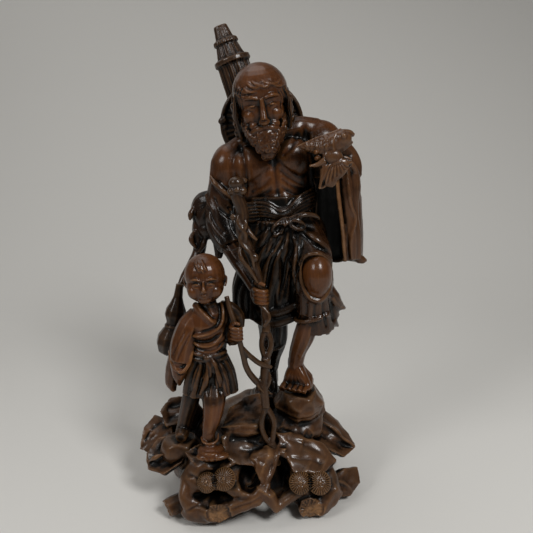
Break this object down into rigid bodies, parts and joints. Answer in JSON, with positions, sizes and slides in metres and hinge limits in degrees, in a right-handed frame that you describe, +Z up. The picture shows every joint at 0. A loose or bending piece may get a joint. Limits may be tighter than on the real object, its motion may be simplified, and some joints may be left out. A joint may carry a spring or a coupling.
{
  "type": "carved wood figure group",
  "caption": "Dark carved wood ornament: an old man with a staff and a fish, and a boy with a gourd, standing on a flat-bottomed mound of roots and rocks.",
  "frame": {"origin": "middle of the root base's flat underside", "axes": "+Z up, -Y to the front, which both figures face, +X to the viewer's right"},
  "size_m": [0.1655, 0.126, 0.3165],
  "materials": {
    "peg_wood": "plain, unfinished",
    "carried_wood": "stained dark, satin lacquer",
    "figure_wood": "stained warm brown, polished lacquer",
    "robe_wood": "stained near black in the folds, satin lacquer",
    "boy_wood": "stained warm brown, polished lacquer",
    "base_wood": "stained dark brown, worn lacquer"
  },
  "bodies": {
    "root": {"man_left_dowel": "peg_wood", "man_right_dowel": "peg_wood", "boy_left_dowel": "peg_wood", "boy_right_dowel": "peg_wood", "bundle_dowel": "peg_wood", "gourd_dowel": "peg_wood", "staff": "carried_wood", "boy_branch": "carried_wood", "fish": "carried_wood", "back_bundle": "carried_wood", "straw_hat": "carried_wood", "gourd": "carried_wood", "man_head": "figure_wood", "man_right_forearm": "figure_wood", "man_left_forearm": "figure_wood", "man_left_leg": "figure_wood", "man_right_leg": "figure_wood", "man_body": "robe_wood", "man_left_sleeve": "robe_wood", "man_right_sleeve": "robe_wood", "boy_head": "boy_wood", "boy_left_forearm": "boy_wood", "boy_right_sleeve": "boy_wood", "boy_body": "boy_wood", "left_pine_spray": "base_wood", "right_pine_spray": "base_wood", "left_rock": "base_wood", "right_rock": "base_wood", "corner_rock": "base_wood", "root_base": "base_wood"}
  },
  "joints": []
}
